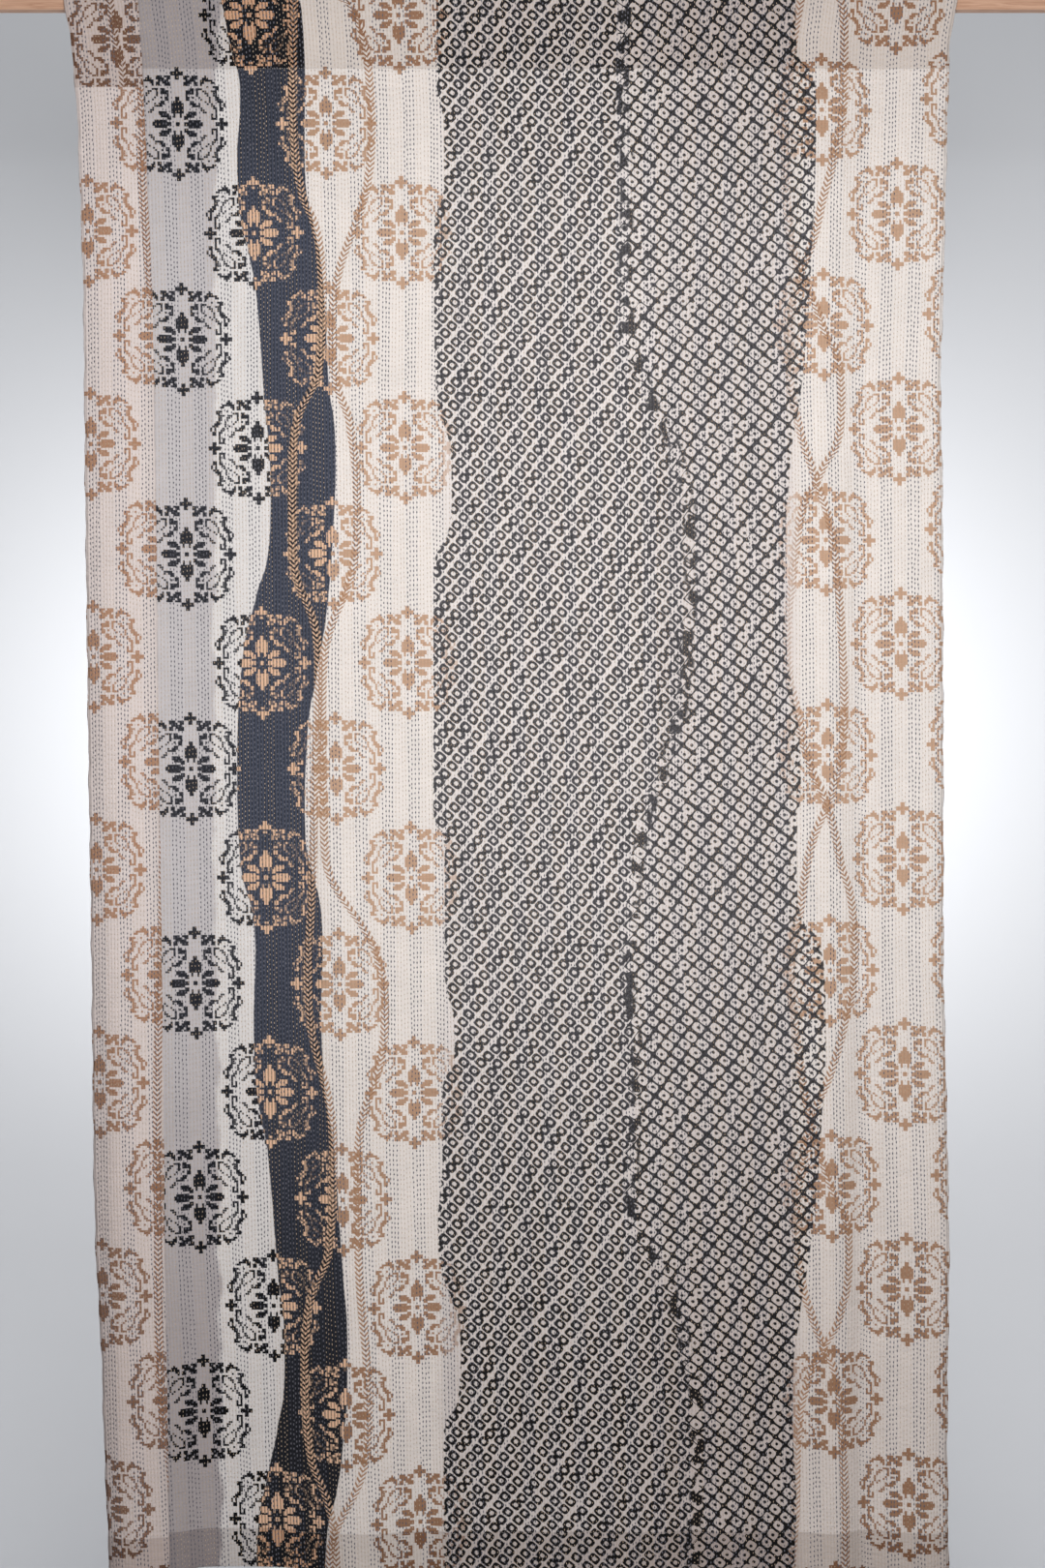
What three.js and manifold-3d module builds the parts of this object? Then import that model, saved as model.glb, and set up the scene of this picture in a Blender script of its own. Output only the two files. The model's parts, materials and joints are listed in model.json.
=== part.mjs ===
// A kantha curtain, thin printed cotton in layers quilted with running stitches, on a wooden rail.
// The rail runs through a pocket sewn along the curtain's top, and a narrow strip of the same print
// is lapped over the panel's left side.
// Units are millimetres. X runs along the rail, -Y faces the room and +Z is up.
// The origin is the middle of the rail.

import * as THREE from 'three';
import { mergeVertices } from 'three/addons/utils/BufferGeometryUtils.js';
import Module from 'manifold-3d';

// The rail, a planed wooden batten with eased edges.
const RAIL_LENGTH = 1480;
const RAIL_HEIGHT = 30;
const RAIL_DEPTH = 18;
const RAIL_EASED_EDGE = 2;

// The cloth. Clearance is the space between two layers, and between a layer and the rail's top.
// Edge clearance is the wider space that the cloth keeps from the rail's edges and faces.
const CLOTH_THICKNESS = 1.2;
const CLEARANCE = 0.45;
const EDGE_CLEARANCE = 2.2;
const HEM_Z = -2077;
const HEM_DEPTH = 46;
const SEAM_WIDTH = 3;
const FLAP_EDGE = 4;
const PANEL_SEAM_Z = -91;

// The side strip laps over the panel's left side. It hangs a little lower and its flap is longer.
const LAP = 12;
const STRIP_HEM_Z = -2083;
const STRIP_SEAM_Z = -116;
const STRIP_PROUD = CLOTH_THICKNESS + CLEARANCE;

// Where the curtain's two sides and the strip's edge on the panel, its lap, stand at distances
// below the rail.
const OUTLINE = [
  { drop: 0, left: -590, lap: -492, right: 588 },
  { drop: 50, left: -582, lap: -489, right: 580 },
  { drop: 150, left: -574, lap: -485, right: 577 },
  { drop: 380, left: -566, lap: -475, right: 571 },
  { drop: 510, left: -565, lap: -472, right: 567 },
  { drop: 640, left: -564, lap: -470, right: 570 },
  { drop: 1000, left: -560, lap: -466, right: 571 },
  { drop: 1280, left: -556, lap: -462, right: 571 },
  { drop: 1540, left: -554, lap: -459, right: 577 },
  { drop: 1660, left: -551, lap: -458, right: 579 },
  { drop: 1790, left: -543, lap: -456, right: 577 },
  { drop: 1920, left: -539, lap: -454, right: 576 },
  { drop: 2077, left: -532, lap: -452, right: 578 },
];

// The soft folds, from the left. Each has the place of its middle under the pocket and at the hem,
// its reach to the left and right, and its depth under the pocket and at the hem.
// A depth above 0 falls back from the room, and one below 0 stands out.
const FOLDS = [
  { name: 'rolled left edge', upper: -608, lower: -572, left: 60, right: 60, shallow: 5, deep: 24 },
  { name: 'strip ridge', upper: -530, lower: -498, left: 46, right: 50, shallow: -3, deep: -10 },
  { name: 'valley by the strip', upper: -440, lower: -408, left: 36, right: 80, shallow: 4, deep: 16 },
  { name: 'wide grey valley', upper: -372, lower: -330, left: 90, right: 112, shallow: 3, deep: 18 },
  { name: 'ridge of the dark band', upper: -258, lower: -204, left: 56, right: 92, shallow: -3, deep: -10 },
  { name: 'valley left of the rings', upper: -88, lower: -110, left: 60, right: 40, shallow: 2, deep: 7 },
  { name: 'valley in the rings', upper: 11, lower: 0, left: 40, right: 58, shallow: 2, deep: 9 },
  { name: 'valley at the dots', upper: 118, lower: 112, left: 52, right: 46, shallow: 2, deep: 7 },
  { name: 'valley in the dots', upper: 230, lower: 238, left: 60, right: 44, shallow: 2, deep: 8 },
  { name: 'valley past the dots', upper: 340, lower: 346, left: 46, right: 40, shallow: 3, deep: 8 },
  { name: 'right ridge', upper: 412, lower: 424, left: 36, right: 36, shallow: -3, deep: -9 },
  { name: 'right crease', upper: 463, lower: 470, left: 26, right: 44, shallow: 4, deep: 11 },
  { name: 'right side ridge', upper: 545, lower: 548, left: 42, right: 48, shallow: -3, deep: -8 },
];
const FOLDS_FULL_BELOW = 250;

// How finely the cloth is divided.
const PANEL_COLUMNS = 48;
const STRIP_COLUMNS = 6;
const ROW_SPACING = 118;
const ARC_STEPS = 240;
const POCKET_WALL_ROWS = [-36, -62];
const HEM_EDGE_HEIGHT = 1;

const lerp = (a, b, t) => a + (b - a) * t;

function smoothstep(low, high, x) {
  const t = Math.min(1, Math.max(0, (x - low) / (high - low)));
  return t * t * (3 - 2 * t);
}

// The curtain's left side, lap or right side at a height, read between the rows of the outline.
function sideAt(side, z) {
  const drop = Math.max(0, -z);
  const above = Math.min(OUTLINE.length - 2, OUTLINE.findLastIndex((row) => row.drop <= drop));
  const a = OUTLINE[above];
  const b = OUTLINE[above + 1];
  return lerp(a[side], b[side], Math.min(1, (drop - a.drop) / (b.drop - a.drop)));
}

// How far the cloth stands back from a plumb plane at a point.
function foldAt(x, z) {
  const begun = smoothstep(RAIL_HEIGHT / 2, FOLDS_FULL_BELOW, -z);
  const down = Math.min(1, Math.max(0, (-z - FOLDS_FULL_BELOW) / (-HEM_Z - FOLDS_FULL_BELOW)));
  let depth = 0;
  for (const fold of FOLDS) {
    const offset = x - lerp(fold.upper, fold.lower, down);
    const away = Math.abs(offset) / (offset < 0 ? fold.left : fold.right);
    if (away < 1) {
      depth += lerp(fold.shallow, fold.deep, down) * 0.5 * (1 + Math.cos(Math.PI * away));
    }
  }
  return depth * begun;
}

// Places between two edges that are evenly spaced along the cloth's own curve.
function spaced(from, to, count, z) {
  const step = (to - from) / ARC_STEPS;
  const lengths = [0];
  for (let i = 1; i <= ARC_STEPS; i += 1) {
    const rise = foldAt(from + i * step, z) - foldAt(from + (i - 1) * step, z);
    lengths.push(lengths[i - 1] + Math.hypot(step, rise));
  }
  const places = [from];
  let i = 0;
  for (let k = 1; k < count; k += 1) {
    const wanted = (lengths[ARC_STEPS] * k) / count;
    while (lengths[i + 1] < wanted) {
      i += 1;
    }
    places.push(from + step * (i + (wanted - lengths[i]) / (lengths[i + 1] - lengths[i])));
  }
  places.push(to);
  return places;
}

// The panel starts under the strip, and both have the same two columns in the lap.
function panelColumns(z) {
  const lap = sideAt('lap', z);
  return [lap - LAP, ...spaced(lap, sideAt('right', z), PANEL_COLUMNS, z)];
}

function stripColumns(z) {
  const lap = sideAt('lap', z);
  return [...spaced(sideAt('left', z), lap - LAP, STRIP_COLUMNS, z), lap];
}

// Half the pocket's width at a height: wide at the rail, and closing to the seam below it.
function pocketHalf(z, seamZ) {
  const closed = smoothstep(RAIL_HEIGHT / 2, -seamZ, -z);
  return lerp(RAIL_DEPTH / 2 + EDGE_CLEARANCE, CLEARANCE / 2, closed);
}

// The heights of the rows of a wall of the pocket, from the rail's lower edge down.
function pocketHeights(seamZ) {
  const heights = [-RAIL_HEIGHT / 2, ...POCKET_WALL_ROWS, PANEL_SEAM_Z, PANEL_SEAM_Z - FLAP_EDGE];
  return seamZ === PANEL_SEAM_Z ? heights : [...heights, STRIP_SEAM_Z, STRIP_SEAM_Z - FLAP_EDGE];
}

// The heights of the rows of the front layer, from the hem up to the rail's lower edge.
function frontHeights(hemZ) {
  const hemTop = HEM_Z + HEM_DEPTH;
  const top = STRIP_SEAM_Z - FLAP_EDGE;
  const count = Math.round((top - hemTop) / ROW_SPACING);
  const heights = [hemZ, hemTop - HEM_EDGE_HEIGHT];
  for (let i = 0; i < count; i += 1) {
    heights.push(lerp(hemTop, top, i / count));
  }
  return [...heights, ...pocketHeights(STRIP_SEAM_Z).reverse()];
}

// The cloth's way over the rail, as inner and outer points of its section. It rounds both edges of
// the rail and lies on the middle of its top.
function wayOverRail(proud) {
  const cornerY = RAIL_DEPTH / 2 - RAIL_EASED_EDGE;
  const cornerZ = RAIL_HEIGHT / 2 - RAIL_EASED_EDGE;
  const radius = RAIL_EASED_EDGE + EDGE_CLEARANCE + proud;
  const round = (side, angle) => [0, CLOTH_THICKNESS].map((out) => [
    side * (cornerY + (radius + out) * Math.cos(angle)),
    cornerZ + (radius + out) * Math.sin(angle),
  ]);
  const crownZ = RAIL_HEIGHT / 2 + CLEARANCE + proud;
  return [
    ...[0, Math.PI / 4, Math.PI / 2].map((angle) => round(-1, angle)),
    [[0, crownZ], [0, crownZ + CLOTH_THICKNESS]],
    ...[Math.PI / 2, Math.PI / 4, 0].map((angle) => round(1, angle)),
  ];
}

// The cloth's way from the hem up the front, over the rail and down the back to the pocket's seam.
// Each row gives a point of the inner and the outer skin for a place along the rail.
function clothRows({ proud, hemZ, hemLayers, seamZ }) {
  const rows = [];
  for (const z of frontHeights(hemZ)) {
    const doubled = z < HEM_Z + HEM_DEPTH ? (hemLayers - 1) * CLOTH_THICKNESS : 0;
    rows.push({
      z,
      skins: (x) => {
        const inner = foldAt(x, z) - pocketHalf(z, seamZ) - proud;
        return [[inner + doubled, z], [inner - CLOTH_THICKNESS, z]];
      },
    });
  }
  for (const points of wayOverRail(proud)) {
    rows.push({ z: 0, skins: () => points });
  }
  for (const z of pocketHeights(seamZ)) {
    rows.push({
      z,
      skins: (x) => {
        const inner = foldAt(x, z) + pocketHalf(z, seamZ) + proud;
        return [[inner, z], [inner + CLOTH_THICKNESS, z]];
      },
    });
  }
  return rows;
}

// Closes a skin on both sides of a grid into one body. skins[k][i] is [inner point, outer point].
function closedSheet(skins) {
  const rows = skins.length;
  const columns = skins[0].length;
  const positions = [];
  for (const side of [0, 1]) {
    for (const row of skins) {
      for (const pair of row) {
        positions.push(...pair[side]);
      }
    }
  }
  const at = (side, k, i) => side * rows * columns + k * columns + i;
  const end = columns - 1;
  const top = rows - 1;
  const index = [];
  const quad = (a, b, c, d) => index.push(a, b, c, a, c, d);
  for (let k = 0; k < top; k += 1) {
    for (let i = 0; i < end; i += 1) {
      quad(at(1, k, i), at(1, k, i + 1), at(1, k + 1, i + 1), at(1, k + 1, i));
      quad(at(0, k, i), at(0, k + 1, i), at(0, k + 1, i + 1), at(0, k, i + 1));
    }
    quad(at(0, k, 0), at(1, k, 0), at(1, k + 1, 0), at(0, k + 1, 0));
    quad(at(1, k, end), at(0, k, end), at(0, k + 1, end), at(1, k + 1, end));
  }
  for (let i = 0; i < end; i += 1) {
    quad(at(0, 0, i), at(0, 0, i + 1), at(1, 0, i + 1), at(1, 0, i));
    quad(at(1, top, i), at(1, top, i + 1), at(0, top, i + 1), at(0, top, i));
  }
  const geometry = new THREE.BufferGeometry();
  geometry.setAttribute('position', new THREE.Float32BufferAttribute(positions, 3));
  geometry.setIndex(index);
  return geometry;
}

// The cloth as a sheet along its rows, with one column of places for each row's height.
function clothSheet(rows, columnsAt) {
  const across = (row) => columnsAt(row.z).map((x) => row.skins(x).map(([y, z]) => [x, y, z]));
  return closedSheet(rows.map(across));
}

// The line of stitching that joins the flap to the front layer. It reaches into both.
function pocketSeam(places, { proud, seamZ }) {
  const half = pocketHalf(seamZ, seamZ) + proud + CLOTH_THICKNESS / 2;
  return closedSheet([seamZ - SEAM_WIDTH / 2, seamZ + SEAM_WIDTH / 2].map((z) => places.map((x) => {
    const middle = foldAt(x, seamZ);
    return [[x, middle + half, z], [x, middle - half, z]];
  })));
}

const wasm = await Module();
wasm.setup();

function solidOf(geometry) {
  const merged = mergeVertices(geometry, 1e-4);
  return new wasm.Manifold(new wasm.Mesh({
    numProp: 3,
    vertProperties: Float32Array.from(merged.attributes.position.array),
    triVerts: Uint32Array.from(merged.index.array),
  }));
}

function geometryOf(solid) {
  const mesh = solid.getMesh();
  const geometry = new THREE.BufferGeometry();
  geometry.setAttribute('position', new THREE.Float32BufferAttribute(mesh.vertProperties, 3));
  geometry.setIndex([...mesh.triVerts]);
  return geometry;
}

function sewn(sheet, seam) {
  const geometry = geometryOf(solidOf(sheet).add(solidOf(seam)));
  geometry.computeVertexNormals();
  return geometry;
}

function makePanel(material) {
  const cut = { proud: 0, hemZ: HEM_Z, hemLayers: 2, seamZ: PANEL_SEAM_Z };
  const sheet = clothSheet(clothRows(cut), panelColumns);
  const seam = pocketSeam(panelColumns(cut.seamZ), cut);
  const panel = new THREE.Mesh(sewn(sheet, seam), material);
  panel.name = 'curtain_panel';
  return panel;
}

// The strip's seam stops short of the lap, where the panel's own layers lie inside the strip.
function makeStrip(material) {
  const cut = { proud: STRIP_PROUD, hemZ: STRIP_HEM_Z, hemLayers: 1, seamZ: STRIP_SEAM_Z };
  const sheet = clothSheet(clothRows(cut), stripColumns);
  const places = stripColumns(cut.seamZ).slice(0, -1);
  places[places.length - 1] -= SEAM_WIDTH;
  const strip = new THREE.Mesh(sewn(sheet, pocketSeam(places, cut)), material);
  strip.name = 'side_strip';
  return strip;
}

function makeRail(material) {
  const y = RAIL_DEPTH / 2;
  const z = RAIL_HEIGHT / 2;
  const e = RAIL_EASED_EDGE;
  const section = new THREE.Shape();
  section.moveTo(-y + e, -z);
  section.lineTo(y - e, -z);
  section.lineTo(y, -z + e);
  section.lineTo(y, z - e);
  section.lineTo(y - e, z);
  section.lineTo(-y + e, z);
  section.lineTo(-y, z - e);
  section.lineTo(-y, -z + e);
  section.closePath();
  const geometry = new THREE.ExtrudeGeometry(section, { depth: RAIL_LENGTH, bevelEnabled: false });
  geometry.rotateX(Math.PI / 2);
  geometry.rotateZ(Math.PI / 2);
  const rail = new THREE.Mesh(geometry, material);
  rail.name = 'wooden_rail';
  rail.position.x = -RAIL_LENGTH / 2;
  return rail;
}

const cotton = new THREE.MeshStandardMaterial({ color: 0xd8ccc6, roughness: 0.9, metalness: 0 });
const stripCotton = new THREE.MeshStandardMaterial({ color: 0xdcc8bc, roughness: 0.9, metalness: 0 });
const wood = new THREE.MeshStandardMaterial({ color: 0xc89b78, roughness: 0.6, metalness: 0 });

const curtain = new THREE.Group();
curtain.add(makeRail(wood), makePanel(cotton), makeStrip(stripCotton));

export default curtain;
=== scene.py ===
# %% [markdown]
# # A kantha curtain on a wooden rail
# Kantha is cloth that is layered and quilted all over with plain running stitches. This curtain is thin
# cotton, printed before it was quilted, with a rod pocket turned over at the top and a narrow strip of
# the same print lapped over its left side. A flat wooden rail runs through the pocket.
#
# The packed model gives the sizes and the places, and this lesson dresses it: two sheets of cloth in
# their soft folds, the print drawn with shader nodes, the stitches as real threads, and the wood.

# %% Load the packed model
import json
import math

import bmesh
import bpy
import numpy as np
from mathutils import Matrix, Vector

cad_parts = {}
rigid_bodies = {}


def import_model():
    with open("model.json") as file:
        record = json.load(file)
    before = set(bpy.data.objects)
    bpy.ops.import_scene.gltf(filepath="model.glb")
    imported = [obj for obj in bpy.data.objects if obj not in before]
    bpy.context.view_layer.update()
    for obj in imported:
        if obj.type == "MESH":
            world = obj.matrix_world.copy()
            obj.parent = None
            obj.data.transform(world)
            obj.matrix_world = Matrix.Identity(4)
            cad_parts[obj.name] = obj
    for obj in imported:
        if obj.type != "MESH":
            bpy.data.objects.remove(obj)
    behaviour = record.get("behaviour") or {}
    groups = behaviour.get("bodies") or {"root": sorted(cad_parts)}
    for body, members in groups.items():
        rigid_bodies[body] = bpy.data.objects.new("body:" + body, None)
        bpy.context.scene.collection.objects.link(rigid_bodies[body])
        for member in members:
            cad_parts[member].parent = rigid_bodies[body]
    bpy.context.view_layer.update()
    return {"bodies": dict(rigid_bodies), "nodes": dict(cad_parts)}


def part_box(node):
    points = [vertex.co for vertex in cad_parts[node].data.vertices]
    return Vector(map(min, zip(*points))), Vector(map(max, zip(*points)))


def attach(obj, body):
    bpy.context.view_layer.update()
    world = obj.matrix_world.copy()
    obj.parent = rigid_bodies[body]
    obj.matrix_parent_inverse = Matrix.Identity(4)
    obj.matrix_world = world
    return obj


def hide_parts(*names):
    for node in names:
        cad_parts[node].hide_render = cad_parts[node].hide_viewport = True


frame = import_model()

# %% [markdown]
# ## Sizes
# Everything below is in metres. The rail's section comes from the packed model. What the model can't
# say in words is repeated here: how thick the cloth is, where its seams lie, how its two sides run, and
# the table of soft folds. A fold is a trough or a ridge that falls from the pocket to the hem, and
# grows deeper on its way.

# %% Sizes of the rail, the cloth and its folds
MM = 0.001
_, RAIL_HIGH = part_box("wooden_rail")
RAIL_HALF_DEPTH = RAIL_HIGH[1]
RAIL_HALF_HEIGHT = RAIL_HIGH[2]
RAIL_EASED_EDGE = 2 * MM

SOLID_THICKNESS = 1.2 * MM
CLOTH_THICKNESS = 0.8 * MM
CLEARANCE = 0.45 * MM
EDGE_CLEARANCE = 2.2 * MM
FLAP_EDGE = 4 * MM
HEM_DEPTH = 51 * MM
HEM_DROP = 2077 * MM
LAP = 12 * MM
PANEL = {"proud": 0, "hem": HEM_DROP, "seam": 91 * MM}
STRIP = {"proud": SOLID_THICKNESS + CLEARANCE, "hem": 2083 * MM, "seam": 116 * MM}

# Drop below the rail, left side, the strip's edge on the panel and right side, in millimetres.
OUTLINE = [
    (0, -590, -492, 588), (50, -582, -489, 580), (150, -574, -485, 577), (380, -566, -475, 571),
    (510, -565, -472, 567), (640, -564, -470, 570), (1000, -560, -466, 571), (1280, -556, -462, 571),
    (1540, -554, -459, 577), (1660, -551, -458, 579), (1790, -543, -456, 577), (1920, -539, -454, 576),
    (2077, -532, -452, 578),
]

# Middle under the pocket, middle at the hem, reach to the left and right, and depth under the pocket
# and at the hem, in millimetres. A depth above 0 falls back from the room.
FOLDS = [
    (-608, -572, 60, 60, 5, 24), (-530, -498, 46, 50, -3, -10), (-440, -408, 36, 80, 4, 16),
    (-372, -330, 90, 112, 3, 18), (-258, -204, 56, 92, -3, -10), (-88, -110, 60, 40, 2, 7),
    (11, 0, 40, 58, 2, 9), (118, 112, 52, 46, 2, 7), (230, 238, 60, 44, 2, 8),
    (340, 346, 46, 40, 3, 8), (412, 424, 36, 36, -3, -9), (463, 470, 26, 44, 4, 11),
    (545, 548, 42, 48, -3, -8),
]
FOLDS_FULL_BELOW = 250 * MM


def smoothstep(low, high, x):
    t = np.clip((x - low) / (high - low), 0, 1)
    return t * t * (3 - 2 * t)


def fold_at(x, z):
    """How far the cloth stands back from a plumb plane."""
    begun = smoothstep(RAIL_HALF_HEIGHT, FOLDS_FULL_BELOW, -z)
    down = np.clip((-z - FOLDS_FULL_BELOW) / (HEM_DROP - FOLDS_FULL_BELOW), 0, 1)
    depth = np.zeros(np.broadcast(x, z).shape)
    for upper, lower, left, right, shallow, deep in np.array(FOLDS) * MM:
        offset = x - (upper + (lower - upper) * down)
        away = np.minimum(np.abs(offset) / np.where(offset < 0, left, right), 1)
        depth += (shallow + (deep - shallow) * down) * 0.5 * (1 + np.cos(np.pi * away))
    return depth * begun


outline = np.array(OUTLINE) * MM
LEFT, STRIP_EDGE, RIGHT = 1, 2, 3


def side_at(side, z):
    """Where the curtain's left side, the strip's edge or the right side stands at a height."""
    return np.interp(-z, outline[:, 0], outline[:, side])


print("rail half depth and half height:", round(RAIL_HALF_DEPTH, 4), round(RAIL_HALF_HEIGHT, 4))
print("depth of the grey valley at the hem:", round(float(fold_at(-0.33, -HEM_DROP)), 4))

# %% [markdown]
# ## The way the cloth goes
# A maker thinks of the curtain as one long flat piece: it starts at the flap's raw edge behind, goes up
# the back of the pocket, over the rail, down the front, and at the hem it turns up behind itself. So a
# point of the cloth is named by its place across, and by its drop: the distance along the cloth, with 0
# level with the rail's middle at the front. The function below turns such a point into a place in the
# room. The same two numbers later carry the print and the stitches, so both follow the cloth.

# %% From a place on the flat cloth to a place in the room
HEM_TURN = 0.55 * MM


def way(cut):
    """Drops at which the cloth changes direction, and the radius of its bend over the rail's edges."""
    radius = RAIL_EASED_EDGE + EDGE_CLEARANCE + cut["proud"] + SOLID_THICKNESS / 2
    corner_y = RAIL_HALF_DEPTH - RAIL_EASED_EDGE
    corner_z = RAIL_HALF_HEIGHT - RAIL_EASED_EDGE
    crown_z = RAIL_HALF_HEIGHT + CLEARANCE + cut["proud"] + SOLID_THICKNESS / 2
    bend = math.pi / 2 * radius
    slope = math.hypot(corner_y, corner_z + radius - crown_z)
    front = -corner_z
    crown = front - bend - slope
    back = crown - slope - bend
    start = back - corner_z - cut["seam"] - FLAP_EDGE
    end = cut["hem"] + math.pi * HEM_TURN + HEM_DEPTH
    return {
        "radius": radius, "corner_y": corner_y, "corner_z": corner_z, "crown_z": crown_z, "bend": bend,
        "slope": slope, "front": front, "crown": crown, "back": back, "start": start, "end": end,
    }


def pocket_half(z, seam):
    """Half the pocket's width: wide at the rail, and closing to the seam below it."""
    closed = smoothstep(RAIL_HALF_HEIGHT, seam, -z)
    wide = RAIL_HALF_DEPTH + EDGE_CLEARANCE
    return wide + (CLEARANCE / 2 - wide) * closed


def height_at(drop, cut):
    """Height of the cloth's middle at a drop, and how far it stands behind the rail's middle."""
    w = way(cut)
    hem = cut["hem"] - HEM_TURN
    front_z = -drop
    turn = np.clip((drop - hem) / HEM_TURN, 0, math.pi)
    front_z = np.where(drop > hem, -hem - HEM_TURN * np.sin(turn), front_z)
    front_z = np.where(turn >= math.pi, -hem + (drop - hem - math.pi * HEM_TURN), front_z)
    behind = HEM_TURN * (1 - np.cos(turn))
    wall = pocket_half(front_z, cut["seam"]) + cut["proud"] + SOLID_THICKNESS / 2
    z, y = front_z, behind - wall
    for along, side in ((w["front"] - drop, -1), (drop - w["back"], 1)):
        angle = np.clip(along / w["radius"], 0, math.pi / 2)
        bent = (drop < w["front"]) & (drop > w["back"]) & ((drop > w["crown"]) == (side < 0))
        on_bend = bent & (along <= w["bend"])
        rest = np.clip((along - w["bend"]) / w["slope"], 0, 1)
        top_z = w["corner_z"] + w["radius"]
        z = np.where(on_bend, w["corner_z"] + w["radius"] * np.sin(angle), z)
        y = np.where(on_bend, side * (w["corner_y"] + w["radius"] * np.cos(angle)), y)
        z = np.where(bent & ~on_bend, top_z + (w["crown_z"] - top_z) * rest, z)
        y = np.where(bent & ~on_bend, side * w["corner_y"] * (1 - rest), y)
    flap_z = w["corner_z"] - (w["back"] - drop)
    flap = drop <= w["back"]
    z = np.where(flap, flap_z, z)
    y = np.where(flap, pocket_half(flap_z, cut["seam"]) + cut["proud"] + SOLID_THICKNESS / 2, y)
    return z, y


def cloth_point(x, drop, cut):
    """Places of the cloth's middle layer, an array with X, Y and Z in its last column."""
    z, y = height_at(drop, cut)
    return np.stack(np.broadcast_arrays(x, y + fold_at(x, z), z), axis=-1)


def cloth_place(x, drop, cut, out):
    """Places that stand out from the cloth's middle, and the directions along and out of it."""
    step = 0.5 * MM
    here = cloth_point(x, drop, cut)
    along = cloth_point(x, drop + step, cut) - cloth_point(x, drop - step, cut)
    across = cloth_point(x + step, drop, cut) - cloth_point(x - step, drop, cut)
    normal = np.cross(along, across)
    normal /= np.linalg.norm(normal, axis=-1, keepdims=True)
    along /= np.linalg.norm(along, axis=-1, keepdims=True)
    return here + normal * out, along, normal


for name, cut in (("panel", PANEL), ("strip", STRIP)):
    w = way(cut)
    print(name, "is", round(w["end"] - w["start"], 3), "m long from flap to turned hem")

# %% [markdown]
# ## The cloth
# Cloth this thin could be a single skin, but a real sheet has two faces and an edge. So a flat grid is
# made with an operator, its points are moved onto the folds, and a Solidify modifier gives the sheet its
# thickness. The grid's rows are close where the cloth bends over the rail and at the hem. The two sides
# aren't ruler-straight, because quilting draws them in a little at each stitch group.
#
# Each corner of a face keeps its place on the flat cloth in a UV map, and each point keeps how many
# rows of stitches lie to its left. The materials read both.

# %% Make the panel and the side strip
ROWS_OF_STITCHES = 260
UV_NAME = "OFBake"
ROW_NAME = "stitch_row"
SLOW_WAVER = (0.6 * MM, 61)
QUICK_WAVER = (0.5 * MM, 143)


def row_number(x, z):
    """How many rows of stitches lie left of a point. It is whole midway between two rows."""
    left, right = side_at(LEFT, z), side_at(RIGHT, z)
    return (x - left) / (right - left) * ROWS_OF_STITCHES


def side_wobble(drop, seed):
    """A small waver of a selvedge, up to about a millimetre."""
    slow_size, slow_rate = SLOW_WAVER
    quick_size, quick_rate = QUICK_WAVER
    return slow_size * np.sin(drop * slow_rate + seed) + quick_size * np.sin(drop * quick_rate + 2 * seed)


def drops_down(cut, step):
    """The drops of a sheet's rows, close together where the cloth bends."""
    w = way(cut)
    hem = cut["hem"] - HEM_TURN
    parts = [
        np.arange(w["start"], w["back"], step),
        np.linspace(w["back"], w["crown"], 8, endpoint=False),
        np.linspace(w["crown"], w["front"], 8, endpoint=False),
        np.arange(w["front"], hem - step / 2, step),
        np.linspace(hem, hem + math.pi * HEM_TURN, 5, endpoint=False),
        np.linspace(hem + math.pi * HEM_TURN, w["end"], 6),
    ]
    return np.concatenate(parts)


def make_sheet(name, cut, sides, columns, step, span):
    """A grid laid on the folds. sides gives its left and right side at a height and drop."""
    drops = drops_down(cut, step)
    bm = bmesh.new()
    bmesh.ops.create_grid(bm, x_segments=columns, y_segments=len(drops) - 1, size=0.5)
    mesh = bpy.data.meshes.new(name)
    bm.to_mesh(mesh)
    bm.free()
    flat = np.empty(len(mesh.vertices) * 3)
    mesh.vertices.foreach_get("co", flat)
    flat = flat.reshape(-1, 3) + 0.5
    row = np.rint((1 - flat[:, 1]) * (len(drops) - 1)).astype(int)
    drop = drops[row]
    z, _ = height_at(drop, cut)
    left, right = sides(z, drop)
    x = left + (right - left) * flat[:, 0]
    mesh.vertices.foreach_set("co", cloth_point(x, drop, cut).ravel())
    corners = np.empty(len(mesh.loops), dtype=np.int32)
    mesh.loops.foreach_get("vertex_index", corners)
    uv = np.stack([(x - span["x"]) / span["width"], (drop - span["drop"]) / span["length"]], axis=-1)
    layer = mesh.uv_layers.new(name=UV_NAME)
    layer.data.foreach_set("uv", uv[corners].astype(np.float32).ravel())
    rows = mesh.attributes.new(ROW_NAME, "FLOAT", "POINT")
    rows.data.foreach_set("value", row_number(x, z).astype(np.float32))
    mesh.polygons.foreach_set("use_smooth", np.ones(len(mesh.polygons), dtype=bool))
    mesh.update()
    sheet = bpy.data.objects.new(name, mesh)
    bpy.context.collection.objects.link(sheet)
    thick = sheet.modifiers.new("thickness", "SOLIDIFY")
    thick.thickness = CLOTH_THICKNESS
    thick.offset = 0
    print(name, "has", len(mesh.polygons), "faces before its thickness")
    return sheet


PANEL_SPAN = {"x": -0.52, "width": 1.13, "drop": -0.16, "length": 2.30}
STRIP_SPAN = {"x": -0.60, "width": 0.16, "drop": -0.18, "length": 2.34}


def panel_sides(z, drop):
    return side_at(STRIP_EDGE, z) - LAP, side_at(RIGHT, z) + side_wobble(drop, 1.0)


def strip_sides(z, drop):
    return side_at(LEFT, z) + side_wobble(drop, 4.0), side_at(STRIP_EDGE, z) + 0.4 * side_wobble(drop, 2.0)


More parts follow.
